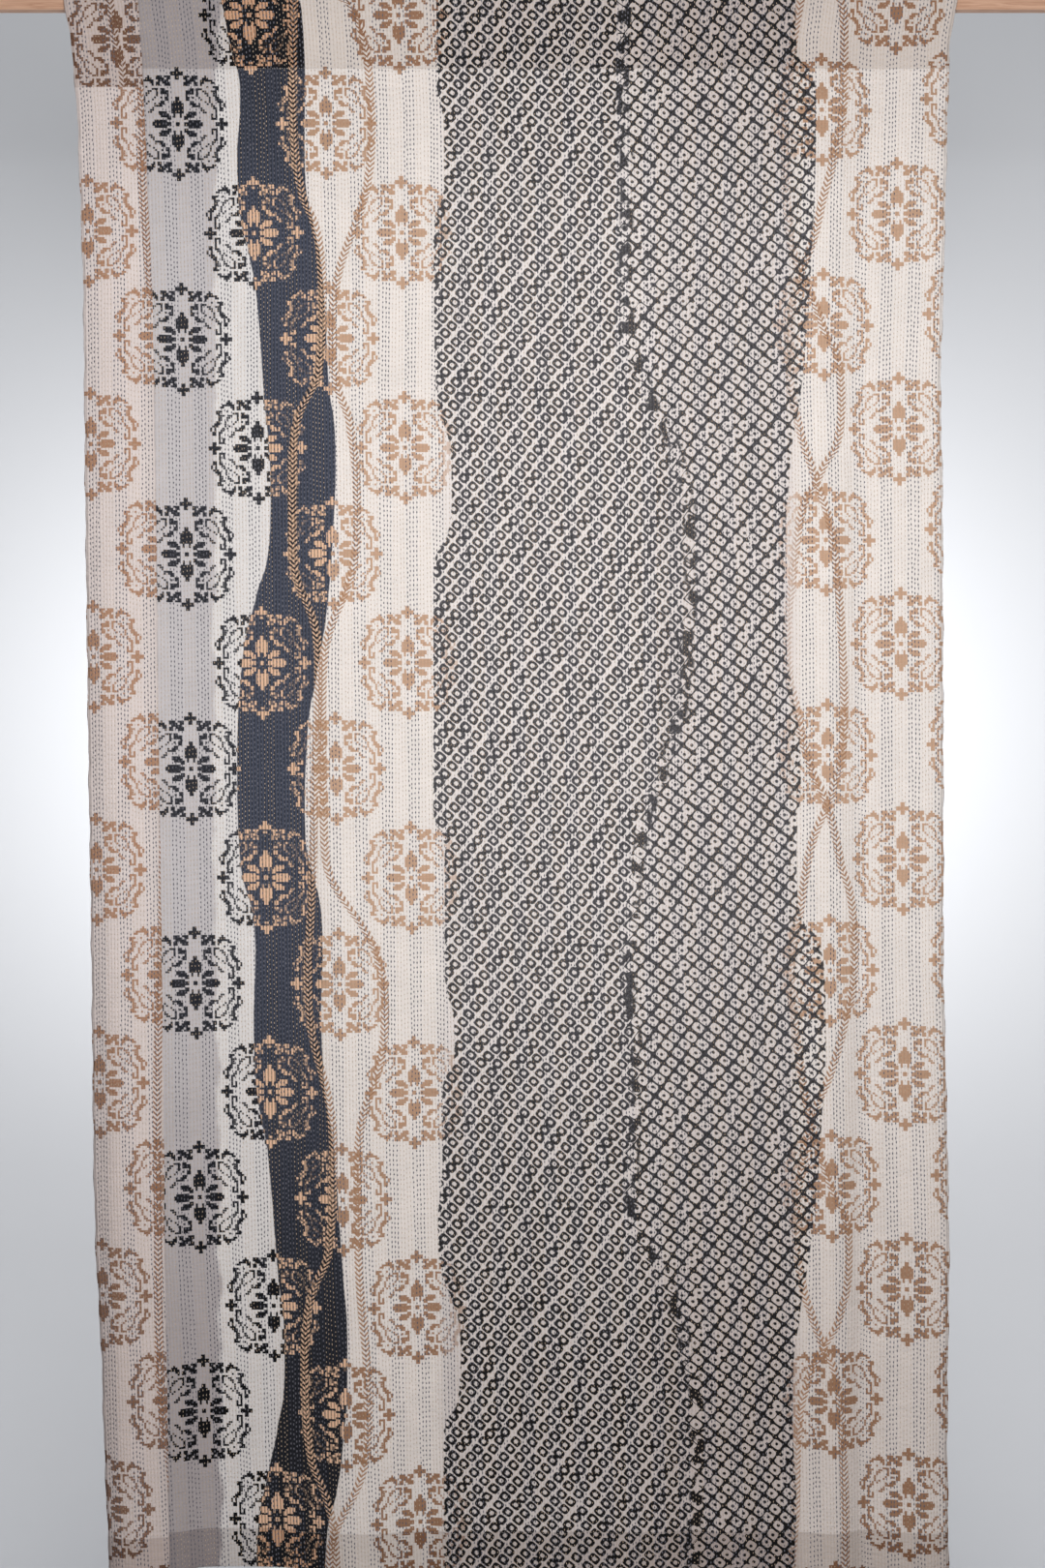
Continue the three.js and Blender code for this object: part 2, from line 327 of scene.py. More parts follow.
panel = make_sheet("curtain_cloth", PANEL, panel_sides, columns=150, step=9.5 * MM, span=PANEL_SPAN)
strip = make_sheet("side_strip_cloth", STRIP, strip_sides, columns=20, step=10 * MM, span=STRIP_SPAN)

# %% [markdown]
# ## The running stitches
# Kantha's running stitch is one thread that dips in and out of all the layers. Here four rows of dark
# thread take turns with four rows of light thread, right across the cloth. On the right side a stitch
# is about half of the pitch, and the thread shows between those stitches on the wrong side.
#
# One small raised stitch with four faces is made first. Its copies are laid along the rows as one
# joined mesh for each thread, each copy turned to the cloth under it, a little uneven as by hand.

# %% One stitch, and the way its copies are laid
STITCH_PITCH = 6.4 * MM
STITCH_LENGTH = 4.4 * MM
DARK_WIDTH = 1.7 * MM
LIGHT_WIDTH = 1.0 * MM
LIGHT_SHORTER = 0.75
STITCH_RISE = 0.45 * MM
BACK_LONGER = 0.4 * MM
THREADS_IN_GROUP = 4
FIRST_DARK_ROW = 1
THREAD_SPAN = {"x": -0.60, "width": 1.20, "drop": -0.18, "length": 2.34}
chance = np.random.default_rng(27)


def make_stitch():
    """A stitch of length, width and rise 1: two ends in the cloth, two corners above it."""
    bm = bmesh.new()
    bmesh.ops.create_cone(bm, segments=3, cap_ends=True, radius1=1, radius2=0, depth=1)
    bmesh.ops.remove_doubles(bm, verts=bm.verts, dist=1e-5)
    corners = [(-0.5, 0, -0.3), (0, 0.5, 1), (0, -0.5, 1), (0.5, 0, -0.3)]
    for vert, place in zip(bm.verts, corners):
        vert.co = place
    bmesh.ops.recalc_face_normals(bm, faces=bm.faces)
    bm.verts.index_update()
    points = np.array([v.co[:] for v in bm.verts])
    faces = np.array([[v.index for v in f.verts] for f in bm.faces])
    bm.free()
    return points, faces


stitch_points, stitch_faces = make_stitch()


def lay_stitches(name, x, drop, cut_of, side, length, width, cross=False):
    """One mesh of stitches at places on the flat cloth. side is 1 on the right side, -1 on the wrong."""
    points, uvs = [], []
    for on_strip, cut in ((False, PANEL), (True, STRIP)):
        here = cut_of == on_strip
        if not here.any():
            continue
        skin = side * CLOTH_THICKNESS / 2
        place, along, normal = cloth_place(x[here], drop[here], cut, skin)
        out = normal * side
        aside = np.cross(along, out)
        if cross:
            along, aside = aside, -along
        size = length[here][:, None]
        corner = (
            place[:, None, :]
            + stitch_points[None, :, 0:1] * (along * size)[:, None, :]
            + stitch_points[None, :, 1:2] * (aside * width)[:, None, :]
            + stitch_points[None, :, 2:3] * (out * STITCH_RISE)[:, None, :]
        )
        points.append(corner.reshape(-1, 3))
        run, rise = (width, size) if not cross else (size, width)
        long_way, short_way = stitch_points[None, :, 0], stitch_points[None, :, 1]
        if cross:
            long_way, short_way = short_way, long_way
        uvs.append(np.stack([
            (x[here][:, None] + short_way * run - THREAD_SPAN["x"]) / THREAD_SPAN["width"],
            (drop[here][:, None] + long_way * rise - THREAD_SPAN["drop"]) / THREAD_SPAN["length"],
        ], axis=-1).reshape(-1, 2))
    points = np.concatenate(points)
    uvs = np.concatenate(uvs)
    count = len(points) // len(stitch_points)
    faces = (stitch_faces[None] + len(stitch_points) * np.arange(count)[:, None, None]).reshape(-1, 3)
    mesh = bpy.data.meshes.new(name)
    mesh.from_pydata(points.tolist(), [], faces.tolist())
    layer = mesh.uv_layers.new(name=UV_NAME)
    layer.data.foreach_set("uv", uvs[faces.ravel()].astype(np.float32).ravel())
    mesh.update()
    thread = bpy.data.objects.new(name, mesh)
    bpy.context.collection.objects.link(thread)
    print(name, "has", count, "stitches and", len(faces), "triangles")
    return thread


print("one stitch has", len(stitch_points), "points and", len(stitch_faces), "faces")

# %% Lay the rows of dark and light thread
SEAM_CLEAR = 3 * MM
EDGE_CLEAR = 0.7 * MM


def rows_of(dark, side):
    """Places of one thread's stitches: across, drop, whether they lie on the strip, and length."""
    row = np.arange(1, ROWS_OF_STITCHES - 1)
    in_group = (row - FIRST_DARK_ROW) % (2 * THREADS_IN_GROUP)
    row = row[(in_group < THREADS_IN_GROUP) == dark]
    start = way(STRIP)["start"]
    count = int((way(STRIP)["end"] - start) / STITCH_PITCH)
    phase = chance.random((len(row), 1))
    drop = start + (np.arange(count)[None, :] + phase) * STITCH_PITCH
    if side < 0:
        drop = drop + STITCH_PITCH / 2
    drop = drop + chance.normal(0, 0.35 * MM, drop.shape)
    z, _ = height_at(drop, PANEL)
    left, right = side_at(LEFT, z), side_at(RIGHT, z)
    sway = 0.12 * np.sin(drop * 21 + 7 * phase) + chance.normal(0, 0.06, drop.shape)
    x = left + (right - left) * (row[:, None] + 0.5 + sway) / ROWS_OF_STITCHES
    on_strip = x < side_at(STRIP_EDGE, z)
    length = STITCH_LENGTH * (1 + chance.normal(0, 0.12, drop.shape))
    if not dark:
        length = length * LIGHT_SHORTER
    if side < 0:
        length = length + BACK_LONGER
    room = np.abs(x - side_at(STRIP_EDGE, z)) > EDGE_CLEAR
    for cut, here in ((PANEL, ~on_strip), (STRIP, on_strip)):
        w = way(cut)
        first = w["start"] if side > 0 else cut["seam"] + SEAM_CLEAR
        last = w["end"] if side > 0 else cut["hem"] - (HEM_DEPTH if cut is PANEL else HEM_TURN)
        inside = (drop > first + STITCH_LENGTH) & (drop < last - STITCH_LENGTH)
        room &= inside | ~here
    return x[room], drop[room], on_strip[room], length[room]


threads = []
for side, side_name in ((1, "front"), (-1, "back")):
    for dark, word, width in ((True, "dark", DARK_WIDTH), (False, "light", LIGHT_WIDTH)):
        x, drop, on_strip, length = rows_of(dark, side)
        threads.append(lay_stitches(f"{word}_stitches_{side_name}", x, drop, on_strip, side, length, width))
dark_threads, light_threads = threads[0::2], threads[1::2]

# %% [markdown]
# ## The seams
# On the panel and on the strip a line of stitching across the cloth closes the pocket, and shows in
# front and behind. One line runs down the lap that holds the strip to the panel, and one more catches
# the hem. All are fine and in the ground's own colour, smaller and closer than the quilting.

# %% Sew the pocket, the lap and the hem
SEAM_PITCH = 3.2 * MM
SEAM_STITCH = 2.4 * MM
SEAM_THREAD = 0.6 * MM
SEAM_UNEVEN = 0.15 * MM
SEAM_INSET = 2 * MM
LAP_INSET = 3 * MM
LAP_ENDS = 4 * MM


def line_across(from_x, to_x, drop):
    x = np.arange(from_x, to_x, SEAM_PITCH)
    return x, np.full(len(x), drop)


def line_down(from_drop, to_drop, inset):
    drop = np.arange(from_drop, to_drop, SEAM_PITCH)
    return side_at(STRIP_EDGE, -drop) - inset, drop


def sew(name, x, drop, on_strip, cross):
    x = x + chance.normal(0, SEAM_UNEVEN, len(x))
    drop = drop + chance.normal(0, SEAM_UNEVEN, len(drop))
    strips = np.full(len(x), on_strip)
    lengths = np.full(len(x), SEAM_STITCH)
    return lay_stitches(name, x, drop, strips, 1, lengths, SEAM_THREAD, cross)


def seam_reach(cut, drop):
    """Left and right ends of a line across the panel or the strip at a drop."""
    left, right = (STRIP_EDGE, RIGHT) if cut is PANEL else (LEFT, STRIP_EDGE)
    return side_at(left, -drop) + SEAM_INSET, side_at(right, -drop) - SEAM_INSET


seams = []
for cut, word in ((PANEL, "panel"), (STRIP, "strip")):
    front_and_back = (cut["seam"], way(cut)["start"] + FLAP_EDGE)
    for drop, side_name in zip(front_and_back, ("front", "back")):
        reach = seam_reach(cut, cut["seam"])
        x, drops = line_across(*reach, drop)
        seams.append(sew(f"{word}_pocket_seam_{side_name}", x, drops, cut is STRIP, True))
hem_top = HEM_DROP - HEM_DEPTH
x, drops = line_across(*seam_reach(PANEL, hem_top), hem_top + SEAM_INSET)
seams.append(sew("panel_hem_seam", x, drops, False, True))
x, drops = line_down(LAP_ENDS, STRIP["hem"] - LAP_ENDS, LAP_INSET)
seams.append(sew("lap_seam", x, drops, True, False))

# %% [markdown]
# ## Nodes written as arithmetic
# The print is worked out by shader nodes, and long formulas are hard to read as a list of nodes and
# links. A Wire stands for a number that flows between nodes: adding or multiplying two wires puts a
# Math node into the tree. The rest of the print is then written as plain sums.

# %% A wire for building formulas out of nodes
def make_node(tree, kind, inputs, **settings):
    """A new node. inputs gives its inputs, by name or number, a number, colour, wire or socket each."""
    node = tree.nodes.new("ShaderNode" + kind)
    for name, value in settings.items():
        setattr(node, name, value)
    for place, value in inputs.items():
        if isinstance(value, Wire):
            value = value.socket
        if isinstance(value, bpy.types.NodeSocket):
            tree.links.new(value, node.inputs[place])
        elif isinstance(value, tuple):
            node.inputs[place].default_value = (*value, 1)
        else:
            node.inputs[place].default_value = value
    return node


class Wire:
    """A number that flows out of a shader node."""

    def __init__(self, tree, socket):
        self.tree = tree
        self.socket = socket

    def math(self, operation, *others):
        inputs = dict(enumerate((self, *others)))
        return Wire(self.tree, make_node(self.tree, "Math", inputs, operation=operation).outputs[0])

    def __add__(self, other):
        return self.math("ADD", other)

    def __sub__(self, other):
        return self.math("SUBTRACT", other)

    def __mul__(self, other):
        return self.math("MULTIPLY", other)

    def __truediv__(self, other):
        return self.math("DIVIDE", other)

    def __rsub__(self, other):
        return self * -1 + other

    __radd__ = __add__
    __rmul__ = __mul__

    def size(self):
        return self.math("ABSOLUTE")

    def whole(self):
        return self.math("FLOOR")

    def part(self):
        return self.math("FRACT")

    def over(self, limit):
        return self.math("GREATER_THAN", limit)

    def under(self, limit):
        return self.math("LESS_THAN", limit)

    def most(self, other):
        return self.math("MAXIMUM", other)

    def rise(self, low, high):
        """From 0 at low to 1 at high, softly."""
        inputs = {"Value": self, "From Min": low, "From Max": high}
        node = make_node(self.tree, "MapRange", inputs, interpolation_type="SMOOTHSTEP")
        return Wire(self.tree, node.outputs["Result"])


print("a wire can also be asked for:", [name for name in vars(Wire) if not name.startswith("_")])

# %% [markdown]
# With wires in place, the next cell adds the few tools that all the materials share: soft limits,
# noise, lines that wander down the cloth, and painting one colour over another.

# %% Tools that all the materials share
def within(wire, low, high, soft):
    """1 between low and high, which may be wires, and 0 outside them."""
    above = (wire - low).rise(-soft, soft)
    below = (high - wire).rise(-soft, soft)
    return above * below


def mix(first, second, amount):
    """From first to second as the amount goes from 0 to 1. Each may be a number or a wire."""
    return first + (second - first) * amount


def joined(tree, x, y, z=0.0):
    """A place, from three numbers or wires."""
    return make_node(tree, "CombineXYZ", {0: x, 1: y, 2: z}).outputs[0]


def noise(tree, vector, scale, detail=2.0, roughness=0.5):
    """Soft random values about 0, from -0.5 to 0.5."""
    inputs = {"Vector": vector, "Scale": scale, "Detail": detail, "Roughness": roughness}
    return Wire(tree, make_node(tree, "TexNoise", inputs).outputs[0]) - 0.5


def speckle(tree, vector):
    """Three values from 0 to 1 that change at random from one cell to the next."""
    source = make_node(tree, "TexWhiteNoise", {"Vector": vector})
    parts = make_node(tree, "SeparateColor", {0: source.outputs["Color"]})
    return [Wire(tree, out) for out in parts.outputs]


LINE_DROP = 2100


def line(tree, drop, points):
    """A line down the cloth: its place across at each drop, through points (drop, across) in mm."""
    low = min(x for _, x in points) - 1
    high = max(x for _, x in points) + 1
    node = make_node(tree, "FloatCurve", {"Value": drop / LINE_DROP})
    curve = node.mapping.curves[0]
    spots = [(v / LINE_DROP, (x - low) / (high - low)) for v, x in points]
    spots.append((1.0, spots[-1][1]))
    curve.points[0].location = spots[0]
    curve.points[1].location = spots[-1]
    for spot in spots[1:-1]:
        curve.points.new(*spot)
    node.mapping.update()
    return Wire(tree, node.outputs[0]) * (high - low) + low


def superellipse(x, y, half_x, half_y, power=3.0):
    """0 in the middle of a rounded rectangle, 1 on its edge and more outside."""
    sides = [(side / half).math("POWER", power) for side, half in ((x, half_x), (y, half_y))]
    return (sides[0] + sides[1]).math("POWER", 1 / power)


def paint(tree, base, colour, amount):
    """Puts a colour over a base by an amount. Each of the two is three numbers or a socket."""
    return make_node(tree, "Mix", {0: amount, 6: base, 7: colour}, data_type="RGBA").outputs[2]


def shade(red, green, blue):
    """A colour as a paint chip names it, 0 to 255, in Blender's linear values."""
    parts = []
    for value in (red, green, blue):
        v = value / 255
        parts.append(v / 12.92 if v <= 0.04045 else ((v + 0.055) / 1.055) ** 2.4)
    return tuple(parts)


print("a middle grey in linear values:", [round(v, 3) for v in shade(128, 128, 128)])

# %% [markdown]
# ## Charting the roundel
# The roundel is a motif that looks like cross-stitch: it is made of small squares, and its four
# quarters mirror each other. So one quarter is charted below, from the middle outwards, with the
# middle at the top left. Each row of the chart becomes two whole numbers, one for each half of the
# row, and a Color Ramp node keeps them. The nodes then ask a number for one of its binary digits.
# The ramp holds at most 32 stops, which is enough for the chart's 27 rows.

# %% Chart a quarter of the roundel and turn its rows into numbers
ROUNDEL_QUARTER = [
    "#..#########......######",
    ".....######.........##..",
    "...##...........###.##..",
    ".#.#####........#.#.....",
    ".#..#####.......#.#.....",
    "###..####...##....#.....",
    "###........##.....#.##..",
    "###........#.....##.##..",
    "###....####.....##..#.#.",
    "###...###.#...#.#...#.#.",
    "##....##.....#.#...###..",
    "#...##.....#...#..###...",
    "#...##.#..#....#..##....",
    "....#....#....#..##.....",
    "....####.#...##..##.....",
    "....####.#..##..###.....",
    "......##.###......##....",
    "..............#..###....",
    "...###..##.#............",
    "...####.##.##...##......",
    "....#####..######.......",
    "#..##.####..###.........",
    "#..###.###...#..........",
    "###.....................",
    "###.....................",
    "#.......................",
    "#.......................",
]
CHART_ROWS = len(ROUNDEL_QUARTER)
CHART_HALF = 12
HALF_ROW_CODES = 2 ** CHART_HALF
CHART_SQUARE = 2.78


def number_of(squares):
    return sum(2 ** place for place, square in enumerate(squares) if square == "#")


def two_to_the(wire):
    return Wire(wire.tree, make_node(wire.tree, "Math", {0: 2, 1: wire}, operation="POWER").outputs[0])


def chart_digit(tree, column, row):
    """1 where the chart has a square at a whole column and row, and 0 elsewhere."""
    ramp = make_node(tree, "ValToRGB", {0: (row + 0.5) / CHART_ROWS})
    ramp.color_ramp.interpolation = "CONSTANT"
    stops = ramp.color_ramp.elements
    for place, squares in enumerate(ROUNDEL_QUARTER):
        stop = stops[place] if place < 2 else stops.new(place / CHART_ROWS)
        stop.position = place / CHART_ROWS
        near, far = number_of(squares[:CHART_HALF]), number_of(squares[CHART_HALF:])
        stop.color = (near / HALF_ROW_CODES, far / HALF_ROW_CODES, 0, 1)
    parts = make_node(tree, "SeparateColor", {0: ramp.outputs[0]})
    near, far = (Wire(tree, parts.outputs[half]) for half in (0, 1))
    outer = column.over(CHART_HALF - 0.5)
    number = mix(near, far, outer) * HALF_ROW_CODES + 0.5
    place = column - outer * CHART_HALF
    half = (number / two_to_the(place)).whole() * 0.5
    return half.part().over(0.25) * column.under(2 * CHART_HALF - 0.5) * row.under(CHART_ROWS - 0.5)


print("the roundel's quarter has", sum(row.count("#") for row in ROUNDEL_QUARTER), "squares")

# %% [markdown]
# ## Setting the roundels
# The roundels stand in columns, and each column starts half a repeat below its neighbour. They are wide
# enough to reach into the next column, so one look at the chart per point isn't enough: the even
# columns are drawn first, then the odd ones, and the larger of the two answers counts. The squares of
# the leaves are printed thinner than the flower's, and on the dark band many of them are missing.

# %% Roundels in half-drop columns
HALF_DROP_MORE = 2.0
PANEL_REPEAT = 284.3
STRIP_REPEAT = 281.2
COLUMN_GAP = 98.5
LEAF_MIDDLE = (13.6, 11.5)
LEAF_HALF = (4.2, 7.2)
LEAF_THIN = 0.46
FLOWER_HALF = (13.4, 13.6)
CROSS_FROM = 22.5
SIDE_CROSS = (17.5, 2.5)


def roundels(tree, across, drop, first, phase, lean, repeat, tilt=0.0, lowest=-9, highest=9):
    """1 on the squares of the roundels, and how much of the squares of their leaves the band loses.
    first is where column 0 stands and phase the drop of one of its middles, lean is how far the columns
    move to the right on their way down, and tilt how much higher each roundel stands than the one on
    its left. Only the columns from lowest to highest are printed."""
    found, leaves = None, None
    for odd in (0, 1):
        along = across - drop * lean - (first + odd * COLUMN_GAP)
        nearest = (along / (2 * COLUMN_GAP) + 0.5).whole() * (2 * COLUMN_GAP)
        squares_across = (along - nearest).size() / CHART_SQUARE
        column = squares_across.whole()
        lift = (nearest + odd * COLUMN_GAP) * tilt
        down = (drop + lift - phase - odd * (repeat / 2 + HALF_DROP_MORE)) / repeat
        squares_down = ((down + 0.5).part() - 0.5).size() * (repeat / CHART_SQUARE)
        row = squares_down.whole()
        number = nearest / COLUMN_GAP + odd
        printed = (number - lowest).over(-0.5) * (highest - number).over(-0.5)
        answer = chart_digit(tree, column, row) * printed
        from_leaf = ((column - LEAF_MIDDLE[0]).size(), (row - LEAF_MIDDLE[1]).size())
        in_leaf = superellipse(*from_leaf, *LEAF_HALF, 2.0).under(1)
        off_middle = (squares_across - column - 0.5).size().most((squares_down - row - 0.5).size())
        answer = answer * (1 - in_leaf * (off_middle - LEAF_THIN).rise(-0.06, 0.06))
        flower = superellipse(column, row, *FLOWER_HALF, 2.0).under(1).most(row.over(CROSS_FROM))
        flower = flower.most(column.over(SIDE_CROSS[0]) * row.under(SIDE_CROSS[1]))
        chances, _, _ = speckle(tree, joined(tree, column + number * 31, row, odd))
        leaf = answer * (1 - flower) * (in_leaf * 0.6).most(chances.under(0.4))
        found = answer if found is None else found.most(answer)
        leaves = leaf if leaves is None else leaves.most(leaf)
    return found, leaves


print("half a repeat on the panel, in mm:", PANEL_REPEAT / 2, "and on the strip:", STRIP_REPEAT / 2)

# %% [markdown]
# ## The vines
# A vine is a herringbone line, two rows of short slanting strokes that meet in points. It wanders down
# the cloth, and neighbouring vines cross. Each vine's way is a Float Curve node, and the strokes come
# from folding the cloth at the vine's middle and repeating a slanting stripe.

# %% A herringbone vine that wanders down the cloth
STROKE_PITCH = 6.6
VINE_HALF = 5.6
STROKE_SLANT = 1.05
STROKE_SHARE = (0.24, 0.7)


def vine(tree, across, drop, points):
    """1 on the strokes of a vine, and 1 on the whole stem that they fill."""
    middle = line(tree, drop, points)
    off = (across - middle).size()
    stroke = ((drop + off * STROKE_SLANT) / STROKE_PITCH).part()
    stem = (VINE_HALF - off).rise(-0.5, 0.5)
    return within(stroke, *STROKE_SHARE, 0.05) * stem, stem


VINE_BY_BAND = [
    (0, -286), (128, -289), (256, -277), (384, -250), (486, -254), (602, -289), (730, -289),
    (872, -255), (1024, -259), (1190, -264), (1302, -269), (1522, -235), (1651, -241), (1798, -274),
    (1920, -267), (2071, -231),
]
VINE_ON_CREAM = [
    (0, -231), (177, -185), (442, -237), (563, -213), (695, -204), (893, -249), (1125, -246),
    (1336, -167), (1522, -202), (1644, -202), (1887, -189), (2071, -241),
]
VINE_AT_DOTS = [
    (0, 382), (91, 369), (192, 362), (297, 367), (347, 378), (407, 403), (439, 414), (503, 435),
    (539, 436), (613, 414), (637, 403), (667, 387), (704, 379), (772, 371), (851, 365), (932, 376),
    (1010, 394), (1064, 417), (1142, 435), (1265, 454), (1343, 442), (1416, 422), (1485, 396),
    (1560, 382), (1613, 376), (1687, 383), (1736, 396), (1780, 412), (1834, 431), (1907, 437),
    (2006, 441), (2071, 441),
]
VINE_OUTSIDE = [
    (0, 432), (102, 440), (197, 428), (270, 410), (311, 401), (371, 381), (448, 368), (486, 368),
    (553, 378), (637, 403), (726, 426), (870, 438), (947, 440), (1037, 426), (1064, 417), (1128, 394),
    (1203, 382), (1302, 369), (1334, 373), (1380, 378), (1485, 396), (1536, 411), (1585, 428),
    (1651, 446), (1728, 436), (1780, 412), (1830, 391), (1907, 378), (1997, 376), (2071, 371),
]
VINE_ON_STRIP = [
    (0, -494), (61, -493), (151, -488), (230, -488), (269, -486), (320, -482), (384, -477),
    (450, -462), (1250, -462), (1331, -466), (1450, -468), (1600, -467), (1760, -466), (1856, -462),
    (1950, -450), (2100, -440),
]
VINE_ON_FLAP = [(0, -530), (60, -522), (130, -512), (2083, -512)]
PANEL_VINES = (VINE_BY_BAND, VINE_ON_CREAM, VINE_AT_DOTS, VINE_OUTSIDE)
print("points on the panel's vines:", [len(points) for points in PANEL_VINES])

# %% [markdown]
# ## The dots and rings
# The middle field looks like tie-dyed dots, where pinches of cloth are bound with thread before the
# dye. Left of a wandering line there are dark rings on a light ground, and right of it the dark
# ground is full of light squares with a dark dot in each. Each kind stands on its own slanting net, so
# every point first finds its cell in a net, and each cell then gets its own small accidents.

# %% The field of dots and rings
RINGS_NET = ((13.6, 11.4), (-8.4, 10.1))
SQUARES_NET = ((13.6, 10.1), (-8.7, 11.1))
# Half width, half height and squareness of each shape.
RING_OUTSIDE = (7.1, 5.6, 3.6)
RING_HOLE = (3.0, 2.6, 2.8)
SQUARE_OUTSIDE = (7.0, 5.5, 3.6)
SQUARE_DOT = (2.2, 2.0, 2.0)
DOTS_LEFT = [
    (0, -99), (120, -98), (170, -89), (240, -89), (315, -103), (510, -100), (565, -88), (645, -79),
    (715, -88), (760, -103), (920, -103), (1080, -103), (1110, -89), (1290, -88), (1375, -75),
    (1415, -80), (1440, -91), (1535, -91), (1625, -97), (1685, -91), (1720, -79), (1805, -67),
    (1870, -79), (1895, -89), (2071, -89),
]
DOTS_RIGHT = [
    (0, 374), (67, 377), (88, 390), (132, 403), (265, 400), (420, 392), (518, 383), (628, 368),
    (783, 362), (915, 372), (1025, 383), (1125, 377), (1204, 381), (1249, 408), (1345, 415),
    (1478, 410), (1644, 396), (1745, 381), (1864, 372), (1997, 377), (2071, 374),
]
RINGS_END = [
    (0, 147), (124, 143), (229, 149), (375, 147), (499, 170), (628, 222), (717, 234), (850, 231),
    (1004, 200), (1161, 161), (1311, 152), (1408, 163), (1577, 156), (1674, 195), (1802, 231),
    (1908, 244), (2037, 237),
]


def on_net(tree, across, drop, net, uneven):
    """The cell of a net that a point is in: how far the point is from its middle along both threads of
    the net, where the middle stands, three random values, and whether it is joined to its neighbour."""
    (ax, ay), (bx, by) = net
    area = ax * by - ay * bx
    a = (across * by - drop * bx) / area
    b = (drop * ax - across * ay) / area
    lane = noise(tree, joined(tree, (a + 0.5).whole() * 0.9, b / 6, uneven + 11), 1.0, 0.0)
    a = a + lane * 0.2
    b = b + noise(tree, joined(tree, (b + 0.5).whole() * 0.9, a / 6, uneven + 21), 1.0, 0.0) * 0.12
    cell_a, cell_b = (a + 0.5).whole(), (b + 0.5).whole()
    chances = speckle(tree, joined(tree, cell_a, cell_b, uneven))
    joint, _, _ = speckle(tree, joined(tree, cell_a, b.whole(), uneven + 7))
    from_a = (a - cell_a + (chances[0] - 0.5) * 0.08) * math.hypot(ax, ay)
    from_b = (b - cell_b + (chances[1] - 0.5) * 0.08) * math.hypot(bx, by)
    middle = across + (cell_a - a) * ax + (cell_b - b) * bx
    return from_a, from_b, middle, chances, joint


def field_of_dots(tree, across, drop):
    """How much dark dye a point has in the field, and whether it lies in the field."""
    hand = noise(tree, joined(tree, across / 5, drop / 5), 1.0, 1.0)
    drift = noise(tree, joined(tree, across / 190, drop / 190), 1.0, 1.0) * 16
    rings_end = line(tree, drop, RINGS_END)
    across_drift, drop_drift = across + drift, drop + drift * 0.7

    from_a, from_b, middle, chances, joint = on_net(tree, across_drift, drop_drift, RINGS_NET, 1)
    outer = superellipse(from_a.size(), from_b.size(), *RING_OUTSIDE) + hand * 0.2
    outer = outer + (chances[2] - 0.5) * 0.1
    hole = superellipse(from_a.size(), from_b.size(), *RING_HOLE) + hand * 0.3
    ring = (1 - outer).rise(-0.06, 0.06) * (hole - 1).rise(-0.2, 0.2)
    bridge = joint.over(0.84) * (3.6 - from_a.size()).rise(-0.5, 0.5) * (from_b.size() - 4).over(0)
    of_rings = (rings_end - middle + drift).over(0)
    rings = ring.most(bridge) * of_rings

    from_a, from_b, middle, chances, joint = on_net(tree, across_drift, drop_drift, SQUARES_NET, 2)
    outer = superellipse(from_a.size(), from_b.size(), *SQUARE_OUTSIDE) + hand * 0.16
    outer = outer + (chances[2] - 0.5) * 0.1
    square = (1 - outer).rise(-0.06, 0.06)
    bridge = joint.over(0.86) * (2.6 - from_a.size()).rise(-0.5, 0.5) * (from_b.size() - 4).over(0)
    dot_a = from_a + (chances[2] - 0.5) * 2
    dot_b = from_b + (chances[0] - 0.5) * 2
    dot = superellipse(dot_a.size(), dot_b.size(), *SQUARE_DOT)
    squares = 1 - square.most(bridge) * (dot + hand * 0.5 - 1).rise(-0.25, 0.25)
    of_squares = (middle - drift - rings_end).over(0)

    blot = noise(tree, joined(tree, across / 15, drop / 17), 1.0, 1.0)
    near = (9 - (across - rings_end - 4).size()).rise(-2, 2)
    blots = near * (blot - 0.03).rise(-0.03, 0.03)
    dye = mix(rings, squares, of_squares).most(blots)
    edge_left = (across - line(tree, drop, DOTS_LEFT) + hand * 5).rise(-0.8, 0.8)
    edge_right = (line(tree, drop, DOTS_RIGHT) - across).rise(-0.8, 0.8)
    return dye, edge_left * edge_right


print("net of the rings:", RINGS_NET, "and of the squares:", SQUARES_NET)

# %% [markdown]
# ## The cotton
# The cloth is fine enough for some light to pass through, so its shader mixes a matt surface with a
# translucent one. Its bump is made of three things: the soft furrows of the stitch rows, the small
# puckers that each stitch pulls up, and the uneven yarns of the weave. The colour gets faint streaks of
# the same yarns, so that no plain patch is quite plain, and painted shade as well: it is darker in the
# furrows of the stitch rows and in small crinkles, and lighter on the ridges between the rows.

# %% Shared parts of both cotton materials
CREAM = shade(233, 225, 219)
WHITE = shade(226, 221, 218)
RINGS_GROUND = shade(231, 223, 219)
SQUARES_GROUND = shade(223, 214, 210)
GREY = shade(201, 195, 195)
# The darker copies in this list, of the grey, the charcoal, the black, the dots' dye, the brown, the
# strip's ground and the strip's dye, are painted shade for near the hem and the top.
GREY_SHADED = shade(178, 170, 170)
CHARCOAL = shade(66, 70, 83)
CHARCOAL_SHADED = shade(30, 31, 37)
BLACK_DYE = shade(30, 32, 40)
